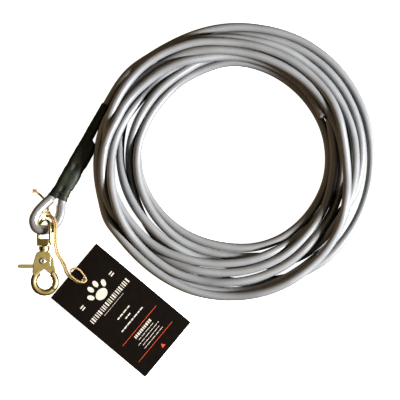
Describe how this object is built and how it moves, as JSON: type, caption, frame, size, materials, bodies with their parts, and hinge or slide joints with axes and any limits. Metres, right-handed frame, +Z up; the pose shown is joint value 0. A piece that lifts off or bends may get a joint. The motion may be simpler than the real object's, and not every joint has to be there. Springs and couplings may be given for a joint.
{
  "type": "training leash",
  "caption": "Long round coated training line wound in a flat coil, with a thimble eye, a heat-shrink sleeve, a swivelling scissor snap hook and a blank swing tag on twine.",
  "frame": {"origin": "on the table, below the middle of the box round the hook, the eye and the sleeve", "axes": "+Z up from the table the leash lies on, +Y from the tip of the hook to the upper end of the sleeve, +X towards the coil"},
  "size_m": [0.2517, 0.2502, 0.02],
  "materials": {
    "line_coat": "satin",
    "thimble_metal": "polished",
    "ferrule_metal": "satin",
    "heat_shrink": "satin",
    "hook_plating": "polished",
    "rivet_metal": "polished",
    "spring_wire": "drawn",
    "tag_card": "matt printed card",
    "jute_twine": "twisted fibre"
  },
  "bodies": {
    "leash": {"leash_coil": "line_coat", "leash_lead": "line_coat", "eye_cord": "line_coat", "thimble": "thimble_metal", "ferrule_lower": "ferrule_metal", "ferrule_upper": "ferrule_metal", "inner_sleeve": "heat_shrink", "outer_sleeve": "heat_shrink", "twine_tail_long": "jute_twine", "twine_tail_short": "jute_twine", "twine_knot": "jute_twine", "twine_strand_left": "jute_twine", "twine_strand_right": "jute_twine", "twine_ring": "jute_twine"},
    "bow": {"swivel_bow": "hook_plating"},
    "hook": {"snap_body": "hook_plating", "pivot_rivet": "rivet_metal", "return_spring": "spring_wire"},
    "trigger": {"trigger_jaw": "hook_plating"},
    "tag": {"hang_tag": "tag_card"}
  },
  "joints": [
    {"name": "bow_lift", "type": "hinge", "parent": "leash", "child": "bow", "pos_m": [-0.0139, -0.021, 0.00615], "axis": [-1, 0, 0], "range_deg": [0, 45]},
    {"name": "hook_swivel", "type": "hinge", "parent": "bow", "child": "hook", "pos_m": [-0.0139, -0.035, 0.00615], "axis": [0, 1, 0], "continuous": true},
    {"name": "trigger_pull", "type": "hinge", "parent": "hook", "child": "trigger", "pos_m": [-0.0149, -0.0439, 0.00615], "axis": [0, 0, 1], "range_deg": [0, 22], "stiffness_Nm_per_rad": 0.03, "springref_deg": -20.05},
    {"name": "tag_turn", "type": "hinge", "parent": "leash", "child": "tag", "pos_m": [0.01416, -0.05696, 0.0016], "axis": [0, 0, 1], "range_deg": [-2, 10]}
  ]
}
